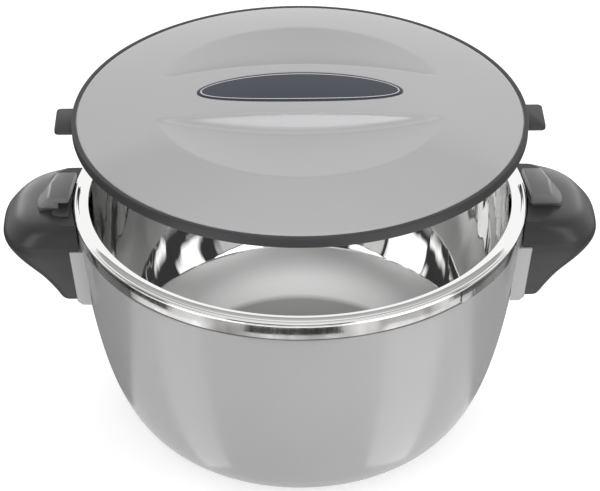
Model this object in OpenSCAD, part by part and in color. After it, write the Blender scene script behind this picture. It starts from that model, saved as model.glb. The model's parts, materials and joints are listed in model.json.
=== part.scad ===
// Insulated serving pot: double wall, steel bowl, two moulded handles with
// catches, and a turn-to-lock lid that is shown lifted clear of the rim.
// Origin at the middle of the base, on the table. X runs through the handles,
// the front of the pot faces -Y, and Z is up.

/* [Pot] */
// Height from the table to the top of the rim
pot_h = 135; // [125:1:160]
// Outer radius of the rolled rim edge
rim_r = 120; // [112:0.5:135]
// How far the foot of the shell lies inside the rim edge
base_in = 46; // [40:1:54]
// How far the shell runs out flat before it curves up
base_run = 26; // [18:1:32]
// How far the shell leans out near its top
wall_lean = 7; // [3:0.5:10]
// Length of the nearly straight part of the shell
wall_run = 79; // [60:1:90]
// Wall thickness of the plastic shell
shell_wall = 2.4; // [1.8:0.1:3]
// Thickness of the shell floor
floor_t = 3.4; // [3:0.1:4.5]
// Air under the shell, between the table and its floor
foot_lift = 0.8; // [0.5:0.1:1.5]

/* [Base] */
// How far the closing plate's edge lies inside the shell's foot
plate_in = 16.4; // [14:0.2:22]
// Thickness of the closing plate's wide part
plate_t = 2; // [1.5:0.1:2.4]
// Width of the step on which the closing plate rests
plate_lip = 8; // [5:0.5:12]
// Radius of the plug in the filling hole
plug_r = 6; // [4:0.5:9]
// Width of the plug's head beyond its stem
plug_lip = 3; // [2:0.5:5]
// Width of the rubber foot ring
foot_w = 4.5; // [3:0.5:6]
// How far the foot ring lies inside the shell's foot
foot_in = 8.2; // [7.4:0.2:10]
// How far the foot ring is let into the shell floor
foot_sink = 1.8; // [1.2:0.1:2]

/* [Bowl] */
// Thickness of the bowl sheet
steel_t = 0.7; // [0.5:0.1:1]
// Width of the flat flange, from the rim edge to the bowl's mouth
flange_w = 8.4; // [7.4:0.2:12]
// How far the flat bowl floor lies inside the bowl's mouth
bowl_floor_in = 59.6; // [50:0.2:66]
// Height of the bowl floor above the table
bowl_floor_z = 18; // [14:1:24]
// How far the bowl wall runs out before it curves up
bowl_run_out = 45; // [34:1:48]
// How far the bowl wall leans in below the mouth
bowl_lean = 0.4; // [0:0.1:3]
// Length of the nearly straight part of the bowl wall
bowl_wall_run = 74; // [60:1:84]
// Radius of the bend between the flange and the wall
mouth_bend = 1; // [0.8:0.1:1.6]
// Radius of the rolled bead at the rim edge
bead_r = 1.2; // [0.9:0.1:1.3]

/* [Rim band] */
// Visible height of the steel band under the rim
band_h = 8; // [6:0.5:10]
// Thickness of the band strip
band_t = 0.6; // [0.5:0.1:0.8]
// Angle of each gap in the band, either side of a handle's centre line
band_gap_deg = 21.5; // [21:0.5:24]
// Angle right of the front where the two front strips lap
lap_at_deg = 42; // [30:1:50]
// Angle over which the two front strips lap
lap_deg = 3; // [2:0.5:5]
// Width of the seal between the shell's neck and the flange
seal_w = 3; // [2:0.1:4]
// How far the filling of the wall stops below the rim
foam_drop = 9; // [6:1:14]

/* [Handle] */
// How far the handle reaches out from its mounting pad
handle_reach = 36.5; // [30:0.5:44]
// Half of the handle's widest width
handle_half_w = 35; // [32:0.5:36]
// Height of the handle
handle_h = 46; // [42:1:48]
// Drop from the rim plane to the top of the handle
handle_drop = 1; // [0.8:0.1:1.2]
// Wall thickness of the hollow handle
handle_wall = 3; // [2:0.1:3.2]
// Half width of the mounting pad on the shell
pad_half_w = 35; // [32:0.5:36]
// Height of the mounting pad
pad_h = 33; // [31:0.5:35]
// How far the pad's top edge stands out past the rim edge
pad_out = 0.8; // [0.5:0.1:2]
// How far the pad's foot leans in
pad_lean = 3.2; // [2:0.1:4]
// Drop from the rim plane to the top of the pad
pad_drop = 13.6; // [13:0.1:15]
// Size of the slope at the pad's lower edge
pad_bevel = 2; // [1:0.1:3]

/* [Screws] */
// Radius of the handle screw's shank
screw_r = 1.9; // [1.5:0.1:2.2]
// Radius of the handle screw's head
screw_head_r = 3.6; // [3:0.1:4]
// Thickness of the handle screw's head
screw_head_t = 2.2; // [1.6:0.1:2.6]
// Length of the handle screw under its head
screw_len = 18; // [14:0.5:18]
// Depth of plastic between the pad's face and the screw's head
screw_seat = 6.2; // [5:0.1:6.6]
// Radius of the post that takes the handle screw
post_r = 4.6; // [3.6:0.1:5]
// Length of that post
post_len = 19; // [16:0.5:20]
// Radius of the catch screw's shank
catch_screw_r = 1.6; // [1.2:0.1:1.8]
// Radius of the catch screw's head
catch_screw_head_r = 3; // [2.4:0.1:3.2]
// Thickness of the catch screw's head
catch_screw_head_t = 1.8; // [1.2:0.1:2]
// Length of the catch screw under its head
catch_screw_len = 9.5; // [8:0.1:9.5]
// How far the catch screw lies inside the catch's outer edge
catch_screw_in = 5; // [4:0.1:6]
// Radius of the way in for the screwdriver
driver_r = 3.4; // [3.2:0.1:4]

/* [Catch] */
// Height of the catch above the rim plane
catch_top = 6; // [5.8:0.1:7.5]
// Half width of the catch along the rim
catch_half_w = 13.4; // [13:0.1:15]
// How far the catch reaches out past the rim edge
catch_reach = 18.3; // [16:0.1:22]
// Width of the catch's flat top
catch_flat = 12; // [11:0.2:14]
// How far the catch is let into the handle
catch_sink = 2.4; // [2:0.1:2.6]
// Height of the slot for the lid tab
slot_h = 3.5; // [3.2:0.1:3.7]
// How far the catch's inner edge turns away from the rim at its front corner
catch_flare = 1.55; // [0.5:0.05:1.8]
// Width of the catch at its back end
catch_back_w = 9; // [7:0.2:11]
// Radius of the catch's round outer side
catch_arc_r = 19.8; // [16:0.2:24]
// How far that arc's middle lies in front of the handle's middle
catch_arc_y = 6; // [4:0.2:8]
// Width of the lip in front of the slot
tongue_w = 9; // [7:0.2:10]
// How far that lip reaches out in front of the catch
tongue_reach = 6; // [4:0.2:8]
// Room between the end of the lid tab and the slot's back wall
tab_room = 1; // [0.5:0.1:1.4]

/* [Lid] */
// Air between the rim and the lid ring in the shown, lifted position
lid_gap = 43.5; // [20:0.5:60]
// How far the dark lid ring lies inside the rim edge
ring_in = 2; // [1.8:0.1:4]
// Height of the lid ring
ring_h = 5.5; // [5:0.1:7]
// Width of the dark ring that shows round the pale cover
ring_w = 2.6; // [2.2:0.1:5]
// Wall thickness of the cover
cover_wall = 2.3; // [1.8:0.1:2.6]
// Rise of the cover's dome above its edge
dome_h = 15.8; // [14:0.2:20]
// Radius of the round dip in the cover
dish_r = 76.5; // [70:0.5:84]
// Depth of the dip from its edge to its middle
dish_h = 4.2; // [3:0.1:4.6]
// Half width of the grip bar at its middle
grip_half_w = 23.8; // [18:0.2:28]
// Half width of the grip bar at its ends
grip_end_half_w = 16.5; // [12:0.2:17.5]
// How far the grip bar's foot spreads out
grip_draft = 6; // [3:0.5:8]
// Length of the lid tab beyond the ring
tab_reach = 8.6; // [6:0.1:8.8]
// Half width of the lid tab
tab_half_w = 11.7; // [8:0.1:11.8]
// Thickness of the lid tab
tab_t = 2.3; // [1.6:0.1:2.4]
// Rounding of the lid tab's corners
tab_corner = 2.5; // [1.5:0.1:3]
// Height of the tab's underside above the ring's underside
tab_low = 0.2; // [0.1:0.05:0.4]
// Thickness of the ledge that carries the cover
ledge_t = 2.2; // [1.8:0.1:3]
// Wall thickness of the lid's plug
plug_wall = 2.4; // [1.8:0.1:3]
// Depth of the lid's steel liner below the ring
liner_drop = 12; // [9:0.5:16]
// Thickness of the liner sheet
liner_t = 0.6; // [0.5:0.1:0.8]
// Width of the liner's sloping border
liner_slope = 16; // [10:0.5:24]
// Height of the liner's upright rim
liner_rim = 3; // [2:0.2:4]
// Width of the sealing ring
gasket_w = 2.7; // [2:0.1:3.2]
// Height of the sealing ring
gasket_h = 3; // [2.4:0.1:3.4]
// Width and thickness of the bead that keeps the sealing ring on the plug
gasket_keep = 1.1; // [0.8:0.1:1.4]

/* [Emblem] */
// Length of the oval plate on the grip bar
emblem_len = 106; // [80:1:118]
// Width of the oval plate
emblem_w = 29.5; // [20:0.5:30]
// Thickness of the oval plate
emblem_t = 1.2; // [0.8:0.1:1.4]
// How far the plate stands proud of the bar
emblem_proud = 0.25; // [0.1:0.05:0.5]
// Gap round the plate in its pocket
emblem_margin = 0.25; // [0.15:0.05:0.4]
// Thickness of the glue under the plate
glue_t = 0.05; // [0.05:0.01:0.1]

/* [Hidden] */
$fn = 120;
// Overrun of every cut past the face that it opens
over = 1;
// Gap between pieces that are fitted to each other
fit = 0.3;
// Gap of a shank in its hole
hole_fit = 0.1;
// Share of the rim radius at which the handle's raw form starts, inside the wall
root_share = 0.85;
// Exponent of the handle's rounded plan, where 2 is an ellipse
handle_round = 2.8;
// Steps of a curved outline
curve_steps = 26;
// Facets of the widest arcs
wide_fn = 360;

// Radii that follow the rim
base_r = rim_r - base_in;
mouth_r = rim_r - flange_w;
bowl_floor_r = mouth_r - bowl_floor_in;
ring_r = rim_r - ring_in;
cover_r = ring_r - ring_w;
pad_x = rim_r + pad_out;
catch_out = rim_r + catch_reach;

// Rim and shell heights
rim_z = pot_h;
flange_low_z = rim_z - steel_t;
bead_mid_r = rim_r - bead_r;
bead_low_z = rim_z - 2 * bead_r;
neck_top_z = bead_low_z - fit / 2;
band_low_z = neck_top_z - band_h;
shell_top_r = rim_r - bead_r;
neck_r = shell_top_r - 2 * band_t;
neck_in_r = shell_top_r - shell_wall;
shell_z = foot_lift;
shell_floor_z = shell_z + floor_t;

// Base closure
plate_r = base_r - plate_in;
plug_head_r = plug_r + plug_lip;
foot_in_r = base_r - foot_in;

// Bowl seal under the flange
seal_out_r = bead_mid_r - bead_r - fit;
seal_in_r = seal_out_r - seal_w;
seal_h = flange_low_z - neck_top_z;

// Insulation stops short of the mouth
foam_top_z = rim_z - foam_drop;

// Handle and pad
pad_top_z = rim_z - pad_drop;
pad_low_z = pad_top_z - pad_h;
pad_low_x = pad_x - pad_lean;
handle_top_z = rim_z - handle_drop;
handle_low_z = handle_top_z - handle_h;
handle_clear_r = rim_r + fit + hole_fit;
handle_root_x = rim_r * root_share;
handle_arc_steps = 24;
handle_sub_steps = 4;
// Height, reach and width of the handle from its foot to its top
handle_shares = [
    [0, 0.24, 0.84], [0.13, 0.34, 0.92], [0.3, 0.54, 0.965], [0.5, 0.86, 0.98],
    [0.674, 1, 0.98], [0.826, 0.88, 0.93], [0.935, 0.7, 0.88], [1, 0.35, 0.82]];
cavity_step = handle_wall;
cavity_top_z = handle_top_z - catch_sink - handle_wall;
window_half_w = pad_half_w * 0.66;
window_h = pad_h * 0.62;
window_z = (pad_top_z + pad_low_z) / 2 - window_h / 2;

// Handle screws
screw_y = pad_half_w * 0.5;
screw_z = (pad_top_z + pad_low_z) / 2;
seat_x = pad_x - screw_seat;

// Catch, whose sloping hood lies between two flat outlines of this thickness
catch_skin = 0.7;
catch_low_z = handle_top_z - catch_sink;
catch_top_z = rim_z + catch_top;
catch_inner_x = rim_r - fit / 2;
catch_flat_x = catch_inner_x + catch_flat;
slot_low_z = rim_z - tab_low;
slot_r = ring_r + tab_reach + tab_room;
stop_y = tab_half_w + fit;
tongue_x = catch_inner_x + catch_flare - fit;
catch_screw_x = catch_out - catch_screw_in;

// Lid, measured from the underside of its ring
lid_z = rim_z + lid_gap;
gasket_clear = fit + glue_t;
lid_plug_r = mouth_r - gasket_w - gasket_clear - 2 * fit;
plug_low = -gasket_h - 2 * gasket_clear - gasket_keep;
edge_z = lid_z + ring_h;
liner_r = lid_plug_r - plug_wall - fit;
dish_edge_h = dome_h * (1 - pow(dish_r / cover_r, 2));
dish_floor_h = dish_edge_h - dish_h;
grip_chord = sqrt(pow(dish_r, 2) - pow(grip_end_half_w, 2));
grip_sag = grip_half_w - grip_end_half_w;
grip_r = (pow(grip_chord, 2) + pow(grip_sag, 2)) / (2 * grip_sag);
grip_low_h = dish_floor_h - cover_wall - over;
emblem_steps = 72;

// Outlines

function bezier(a, b, c, d) = [for (i = [0:curve_steps]) let (t = i / curve_steps)
    pow(1 - t, 3) * a + 3 * t * pow(1 - t, 2) * b + 3 * t * t * (1 - t) * c + t * t * t * d];

// Moves each point of a curve to its left
function inset(pts, d) = [for (i = [0:len(pts) - 1])
    let (p = pts[max(i - 1, 0)], q = pts[min(i + 1, len(pts) - 1)], v = (q - p) / norm(q - p))
    pts[i] + d * [-v[1], v[0]]];

function backwards(pts) = [for (i = [len(pts) - 1:-1:0]) pts[i]];

shell_curve = bezier(
    [base_r, shell_z],
    [base_r + base_run, shell_z],
    [shell_top_r - wall_lean, band_low_z - wall_run],
    [shell_top_r, band_low_z]);

bowl_curve = bezier(
    [bowl_floor_r, bowl_floor_z],
    [bowl_floor_r + bowl_run_out, bowl_floor_z],
    [mouth_r - bowl_lean, rim_z - mouth_bend - bowl_wall_run],
    [mouth_r, rim_z - mouth_bend]);

mouth_steps = 6;
mouth_arc = [for (i = [1:mouth_steps]) let (a = 180 - 90 * i / mouth_steps)
    [mouth_r + mouth_bend + mouth_bend * cos(a), rim_z - mouth_bend + mouth_bend * sin(a)]];

bowl_inside = concat(bowl_curve, mouth_arc);

// Solid of revolution under the outside of the shell
module shell_outside() {
    rotate_extrude()
    polygon(concat([[0, shell_z]], shell_curve,
        [[neck_r, band_low_z], [neck_r, neck_top_z], [0, neck_top_z]]));
}

module shell_inside() {
    curve = [for (p = inset(shell_curve, shell_wall)) if (p[1] > shell_floor_z + fit) p];
    rotate_extrude()
    polygon(concat([[0, shell_floor_z], [curve[0][0] - floor_t, shell_floor_z]], curve,
        [[neck_in_r, neck_top_z + over], [0, neck_top_z + over]]));
}

// Everything on the pot's side of the slanted pad face
module pad_block(half_w) {
    slope = pad_lean / pad_h;
    rotate([90, 0, 0])
    linear_extrude(2 * half_w, center = true)
    polygon([[handle_root_x - over, pad_top_z], [pad_x, pad_top_z],
        [pad_low_x + slope * pad_bevel, pad_low_z + pad_bevel],
        [pad_low_x - pad_bevel, pad_low_z], [handle_root_x - over, pad_low_z]]);
}

module each_side() {
    children();
    mirror([1, 0, 0]) children();
}

module pad_screw_holes(r, x0, x1) {
    for (y = [-screw_y, screw_y])
        translate([x0, y, screw_z])
        rotate([0, 90, 0])
        cylinder(r = r, h = x1 - x0);
}

// Full-width wall beside each handle, between the ends of the band
module shell_rib() {
    rib_deg = band_gap_deg - 1.2;
    rotate([0, 0, -rib_deg])
    rotate_extrude(angle = 2 * rib_deg)
    translate([neck_in_r, band_low_z - over])
    square([shell_top_r + band_t - neck_in_r, neck_top_z - band_low_z + over]);
}

module outer_shell() {
    color([0.68, 0.68, 0.69])
    difference() {
        union() {
            shell_outside();
            each_side() {
                pad_block(pad_half_w);
                shell_rib();
            }
        }
        shell_inside();
        translate([0, 0, shell_z - over])
        cylinder(r = plate_r - plate_lip, h = floor_t + 2 * over);
        translate([0, 0, shell_z - over])
        cylinder(r = plate_r + fit, h = plate_t + over);
        translate([0, 0, shell_z - over])
        foot_groove(fit / 2, foot_sink + over);
        each_side() {
            pad_screw_holes(screw_r + hole_fit, handle_root_x - over, pad_x + over);
            pad_screw_holes(screw_head_r + fit, handle_root_x - over, seat_x);
        }
    }
}

module foot_groove(grow, h) {
    difference() {
        cylinder(r = foot_in_r + foot_w + grow, h = h);
        translate([0, 0, -over])
        cylinder(r = foot_in_r - grow, h = h + 2 * over);
    }
}

// Closes the opening through which the shell is filled
module base_plate() {
    color([0.66, 0.66, 0.67])
    difference() {
        union() {
            translate([0, 0, shell_z])
            cylinder(r = plate_r, h = plate_t);
            translate([0, 0, shell_z + plate_t])
            cylinder(r = plate_r - plate_lip - fit, h = floor_t - plate_t);
        }
        translate([0, 0, shell_z - over])
        cylinder(r = plug_r + hole_fit, h = floor_t + 2 * over);
        translate([0, 0, shell_z - over])
        cylinder(r = plug_head_r + fit, h = plate_t / 2 + over);
    }
}

module foot_ring() {
    color([0.25, 0.25, 0.26])
    foot_groove(0, foot_lift + foot_sink);
}

module foam_plug() {
    color([0.3, 0.3, 0.31])
    translate([0, 0, shell_z]) {
        cylinder(r = plug_head_r, h = plate_t / 2);
        cylinder(r = plug_r, h = floor_t);
    }
}

module pot_insulation() {
    outside = [for (p = inset(shell_curve, shell_wall + fit))
        if (p[1] > shell_floor_z + 2 * fit && p[1] < foam_top_z) p];
    inside = [for (p = inset(bowl_curve, -steel_t - fit)) if (p[1] < foam_top_z) p];
    top_out = outside[len(outside) - 1];
    top_in = inside[len(inside) - 1];
    color([0.93, 0.86, 0.66])
    difference() {
        rotate_extrude()
        polygon(concat([[0, shell_floor_z], [outside[0][0] - floor_t, shell_floor_z]], outside,
            [[top_out[0], foam_top_z], [top_in[0], foam_top_z]], backwards(inside),
            [[0, bowl_floor_z - steel_t - fit]]));
        each_side()
        pad_screw_holes(screw_head_r + 2 * fit, seat_x - screw_head_t - fit, pad_x);
    }
}

module inner_bowl() {
    outside = inset(bowl_curve, -steel_t);
    color([0.86, 0.86, 0.86])
    union() {
        rotate_extrude()
        polygon(concat([[0, bowl_floor_z]], bowl_inside, [[bead_mid_r, rim_z],
            [bead_mid_r, flange_low_z], [mouth_r + steel_t + mouth_bend, flange_low_z]],
            backwards(outside), [[0, bowl_floor_z - steel_t]]));
        rotate_extrude()
        translate([bead_mid_r, rim_z - bead_r])
        circle(r = bead_r, $fn = 24);
    }
}

// Keeps water out of the wall, between the flange and the shell's neck
module rim_seal() {
    color([0.8, 0.8, 0.78])
    difference() {
        translate([0, 0, neck_top_z])
        cylinder(r = seal_out_r, h = seal_h);
        translate([0, 0, neck_top_z - over])
        cylinder(r = seal_in_r, h = seal_h + 2 * over);
    }
}

module band_strip(from_deg, to_deg, lift) {
    color([0.78, 0.78, 0.78])
    rotate([0, 0, from_deg])
    rotate_extrude(angle = to_deg - from_deg)
    translate([neck_r + lift, band_low_z + fit / 2])
    square([band_t, neck_top_z - band_low_z - fit / 2]);
}

module rim_band_front_left() {
    band_strip(180 + band_gap_deg, 270 + lap_at_deg + lap_deg, hole_fit);
}

module rim_band_front_right() {
    band_strip(270 + lap_at_deg, 360 - band_gap_deg, 2 * hole_fit + band_t);
}

module rim_band_back() {
    band_strip(band_gap_deg, 180 - band_gap_deg, hole_fit);
}

// Handles

function spline(p, q, r, s, t) = 0.5 * ((2 * q) + (r - p) * t + (2 * p - 5 * q + 4 * r - s) * t * t
    + (3 * q - p - 3 * r + s) * t * t * t);

// Smooth rows of height, reach and width shares through the table
function smooth_rows(rows, n) = concat([for (i = [0:len(rows) - 2]) for (j = [0:n - 1])
    spline(rows[max(i - 1, 0)], rows[i], rows[i + 1], rows[min(i + 2, len(rows) - 1)], j / n)],
    [rows[len(rows) - 1]]);

// One level of the handle: two root corners and a rounded outer side
function handle_level(z, root_x, reach, half_w) = concat([[root_x, -half_w, z]],
    [for (i = [0:handle_arc_steps]) let (a = 180 * i / handle_arc_steps,
        s = pow(abs(sin(a)), 2 / handle_round), c = pow(abs(cos(a)), 2 / handle_round))
        [pad_x + reach * s, -half_w * c * sign(cos(a)), z]],
    [[root_x, half_w, z]]);

// Skin through levels of equal length, closed at both ends
module loft(levels) {
    n = len(levels[0]);
    last = len(levels) - 1;
    polyhedron(
        points = [for (level = levels) each level],
        faces = concat(
            [[for (i = [0:n - 1]) i]],
            [[for (i = [n - 1:-1:0]) last * n + i]],
            [for (k = [0:last - 1]) for (i = [0:n - 1]) let (j = (i + 1) % n)
                [k * n + i, (k + 1) * n + i, (k + 1) * n + j]],
            [for (k = [0:last - 1]) for (i = [0:n - 1]) let (j = (i + 1) % n)
                [k * n + i, (k + 1) * n + j, k * n + j]]),
        convexity = 6);
}

module handle_outside() {
    rows = smooth_rows(handle_shares, handle_sub_steps);
    loft([for (r = rows) handle_level(handle_low_z + handle_h * r[0], handle_root_x,
        handle_reach * r[1], handle_half_w * r[2])]);
}

module handle_cavity() {
    low = handle_low_z + 2 * handle_wall;
    rows = [for (r = smooth_rows(handle_shares, 2))
        if (handle_low_z + handle_h * r[0] > low && handle_low_z + handle_h * r[0] < cavity_top_z) r];
    top = rows[len(rows) - 1];
    loft(concat(
        [for (r = rows) handle_level(handle_low_z + handle_h * r[0], pad_x + handle_wall,
            handle_reach * r[1] - handle_wall, handle_half_w * r[2] - handle_wall)],
        [handle_level(cavity_top_z, pad_x + handle_wall,
            handle_reach * top[1] - 2 * handle_wall, handle_half_w * top[2] - 2 * handle_wall)]));
}

module handle_right_form() {
    color([0.3, 0.3, 0.31])
    difference() {
        union() {
            difference() {
                handle_outside();
                handle_cavity();
                translate([handle_root_x - over, -window_half_w, window_z])
                cube([pad_x + handle_wall + 2 * over - handle_root_x, 2 * window_half_w, window_h]);
            }
            pad_screw_holes(post_r, pad_low_x, pad_low_x + post_len);
        }
        handle_wall_side();
        pad_block(pad_half_w + handle_half_w);
        pad_screw_holes(screw_r + hole_fit, pad_low_x - over, seat_x + screw_len + over);
        translate([0, 0, catch_low_z])
        linear_extrude(catch_top_z - catch_low_z)
        offset(delta = hole_fit)
        catch_outline();
        translate([catch_screw_x, 0, cavity_top_z - over])
        cylinder(r = catch_screw_r + hole_fit, h = handle_h);
        translate([catch_screw_x, 0, handle_low_z - over])
        cylinder(r = driver_r, h = cavity_top_z - handle_low_z);
    }
}

// The pot's side of the handle: round above the pad, flat below it
module handle_wall_side() {
    low_h = pad_low_z + pad_bevel - handle_low_z + over;
    cylinder(r = handle_clear_r, h = handle_top_z + over);
    translate([0, -handle_half_w - over, handle_low_z - over])
    cube([pad_low_x - pad_bevel / 2, 2 * (handle_half_w + over), low_h]);
}

module handle_right() {
    handle_right_form();
}

module handle_left() {
    mirror([1, 0, 0]) handle_right_form();
}

// Catches

// Foot of the hood: a straight inner edge along the rim and a round outer side
module catch_outline() {
    arc_x = catch_out - catch_arc_r;
    low_a = asin((catch_arc_y - catch_half_w) / catch_arc_r);
    polygon(concat([[catch_inner_x + catch_flare, -catch_half_w]],
        [for (i = [0:10]) let (a = low_a + (62 - low_a) * i / 10)
            [arc_x + catch_arc_r * cos(a), catch_arc_r * sin(a) - catch_arc_y]],
        [[catch_inner_x + catch_back_w, catch_half_w], [catch_inner_x - catch_flare, catch_half_w]]));
}

// Flat top of the hood
module catch_top_outline() {
    polygon([[catch_inner_x + catch_flare, -catch_half_w], [catch_flat_x, -catch_half_w],
        [catch_flat_x, catch_half_w * 0.2], [catch_inner_x + catch_back_w, catch_half_w],
        [catch_inner_x - catch_flare, catch_half_w]]);
}

// Hood over the lid tab. The mouth is the side, -1 or 1 along Y, where the tab turns in.
module catch_form(mouth) {
    color([0.42, 0.42, 0.43])
    difference() {
        union() {
            translate([0, 0, catch_low_z])
            linear_extrude(handle_drop + catch_sink)
            catch_outline();
            hull() {
                translate([0, 0, rim_z - catch_skin])
                linear_extrude(catch_skin)
                catch_outline();
                translate([0, 0, catch_top_z - catch_skin])
                linear_extrude(catch_skin)
                catch_top_outline();
            }
            catch_tongue(mouth);
        }
        translate([0, 0, catch_low_z - over])
        cylinder(r = handle_clear_r, h = rim_z + fit + over - catch_low_z);
        intersection() {
            translate([0, 0, slot_low_z])
            cylinder(r = slot_r, h = slot_h);
            translate([0, mouth > 0 ? -stop_y : -2 * catch_half_w, slot_low_z])
            cube([catch_out, 2 * catch_half_w + stop_y, slot_h]);
        }
        translate([catch_screw_x, 0, catch_low_z - over])
        cylinder(r = catch_screw_r + hole_fit, h = catch_screw_len - handle_wall + over);
    }
}

// Round-ended lip in front of the slot, on which the tab rides in
module catch_tongue(mouth) {
    low_z = handle_top_z;
    h = slot_low_z - low_z;
    translate([tongue_x, mouth * (catch_half_w + tongue_reach / 2), low_z])
    union() {
        translate([0, -tongue_reach / 2 - over, 0])
        cube([tongue_w - tongue_reach / 2, tongue_reach + 2 * over, h]);
        translate([tongue_w - tongue_reach / 2, 0, 0])
        cylinder(r = tongue_reach / 2, h = h);
    }
}

module lid_catch_left() {
    mirror([1, 0, 0]) catch_form(-1);
}

module lid_catch_right() {
    catch_form(1);
}

// Fasteners

module screw(r, len, head_r, head_t) {
    cylinder(r = r, h = len);
    translate([0, 0, -head_t])
    cylinder(r = head_r, h = head_t);
}

module handle_screws() {
    color([0.75, 0.75, 0.76])
    each_side()
    for (y = [-screw_y, screw_y])
        translate([seat_x, y, screw_z])
        rotate([0, 90, 0])
        screw(screw_r, screw_len, screw_head_r, screw_head_t);
}

module catch_screws() {
    color([0.75, 0.75, 0.76])
    each_side()
    translate([catch_screw_x, 0, cavity_top_z])
    screw(catch_screw_r, catch_screw_len - hole_fit, catch_screw_head_r, catch_screw_head_t);
}

// Lid

function dome_z(r) = edge_z + dome_h * (1 - pow(r / cover_r, 2));
function dish_z(r) = edge_z + dish_floor_h + dish_h * pow(r / dish_r, 2);
function radii(r, n) = [for (i = [0:n]) r * i / n];

module dome(r, drop, low_z) {
    rotate_extrude(convexity = 4)
    polygon(concat([[0, low_z]], [[r, low_z]],
        backwards([for (x = radii(r, curve_steps)) [x, dome_z(x) - drop]])));
}

// Space above the dip's floor
module dish(drop) {
    wide = (dish_r + cover_r) / 2;
    rotate_extrude(convexity = 4)
    polygon(concat([for (x = radii(wide, curve_steps)) [x, dish_z(x) - drop]],
        [[wide, edge_z + 2 * dome_h], [0, edge_z + 2 * dome_h]]));
}

// Grip bar between two wide arcs, with spreading sides
module grip(grow) {
    h = dome_h - grip_low_h + over;
    spread = grip_draft * h / (dome_h - dish_floor_h);
    intersection_for (side = [-1, 1])
        translate([0, side * (grip_half_w - grip_r), edge_z + grip_low_h])
        cylinder(r1 = grip_r + spread + grow, r2 = grip_r + grow, h = h, $fn = wide_fn);
}

module cover_solid(drop, r, low_z) {
    difference() {
        dome(r, drop, low_z);
        difference() {
            dish(drop);
            grip(-drop);
        }
    }
}

module emblem_prism(grow) {
    translate([0, 0, edge_z])
    linear_extrude(2 * dome_h)
    polygon([for (i = [0:emblem_steps - 1]) let (a = 360 * i / emblem_steps)
        [(emblem_len / 2 + grow) * cos(a), (emblem_w / 2 + grow) * sin(a)]]);
}

module lid_cover() {
    color([0.7, 0.7, 0.71])
    difference() {
        cover_solid(0, cover_r, lid_z + ledge_t);
        cover_solid(cover_wall, cover_r - cover_wall, lid_z + ledge_t - over);
        difference() {
            emblem_prism(emblem_margin);
            dome(cover_r, emblem_t - emblem_proud, lid_z);
        }
    }
}

module emblem_plate() {
    color([0.22, 0.24, 0.3])
    intersection() {
        emblem_prism(0);
        difference() {
            dome(cover_r, -emblem_proud, lid_z);
            dome(cover_r + over, emblem_t - emblem_proud - glue_t, lid_z - over);
        }
    }
}

module lid_tab() {
    x0 = (cover_r + fit + ring_r) / 2;
    x1 = ring_r + tab_reach;
    translate([0, 0, lid_z + tab_low])
    linear_extrude(tab_t)
    union() {
        translate([x0, -tab_half_w])
        square([x1 - tab_corner - x0, 2 * tab_half_w]);
        translate([x0, tab_corner - tab_half_w])
        square([x1 - x0, 2 * (tab_half_w - tab_corner)]);
        for (y = [tab_corner - tab_half_w, tab_half_w - tab_corner])
            translate([x1 - tab_corner, y])
            circle(r = tab_corner, $fn = 32);
    }
}

// Dark ring with the two locking tabs, the ledge for the cover and a short plug
module lid_base() {
    wall_in = cover_r + fit;
    plug_in = lid_plug_r - plug_wall;
    lip_top = plug_low + gasket_keep;
    color([0.3, 0.3, 0.31])
    union() {
        rotate_extrude(convexity = 4)
        translate([0, lid_z])
        polygon([[plug_in, plug_low], [lid_plug_r + gasket_keep, plug_low],
            [lid_plug_r + gasket_keep, lip_top], [lid_plug_r, lip_top], [lid_plug_r, 0],
            [ring_r, 0], [ring_r, ring_h], [wall_in, ring_h], [wall_in, ledge_t],
            [plug_in, ledge_t]]);
        each_side()
        lid_tab();
    }
}

module lid_gasket() {
    r = lid_plug_r + fit;
    low = -gasket_clear - gasket_h;
    color([0.85, 0.85, 0.83])
    rotate_extrude(convexity = 4)
    translate([0, lid_z])
    polygon([[r, low], [r + gasket_w * 0.7, low], [r + gasket_w, low + gasket_h * 0.35],
        [r + gasket_w, low + gasket_h * 0.7], [r + gasket_w * 0.7, low + gasket_h],
        [r, low + gasket_h]]);
}

// Steel pan that faces the food
module lid_liner() {
    top = plug_low + liner_rim;
    turn_r = liner_r - liner_slope;
    color([0.86, 0.86, 0.86])
    rotate_extrude(convexity = 4)
    translate([0, lid_z])
    polygon([[0, -liner_drop], [turn_r, -liner_drop], [liner_r, plug_low], [liner_r, top],
        [liner_r - liner_t, top], [liner_r - liner_t, plug_low + liner_t],
        [turn_r - liner_t / 2, liner_t - liner_drop], [0, liner_t - liner_drop]]);
}

module lid_insulation() {
    r = liner_r - liner_t - fit;
    turn_r = liner_r - liner_slope;
    low = liner_t + fit - liner_drop;
    foam_top = ring_h;
    color([0.93, 0.86, 0.66])
    rotate_extrude(convexity = 4)
    translate([0, lid_z])
    polygon([[0, low], [turn_r - liner_t, low], [r, plug_low + 3 * liner_t], [r, foam_top - fit],
        [0, foam_top - fit]]);
}

outer_shell();
base_plate();
foot_ring();
foam_plug();
pot_insulation();
inner_bowl();
rim_seal();
rim_band_front_left();
rim_band_front_right();
rim_band_back();
handle_left();
handle_right();
lid_catch_left();
lid_catch_right();
handle_screws();
catch_screws();
lid_gasket();
lid_cover();
lid_base();
lid_insulation();
lid_liner();
emblem_plate();
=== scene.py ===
import json
from math import asin, atan2, cos, degrees, hypot, pi, radians, sin, sqrt

import bmesh
import bpy
from mathutils import Matrix, Vector

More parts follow.
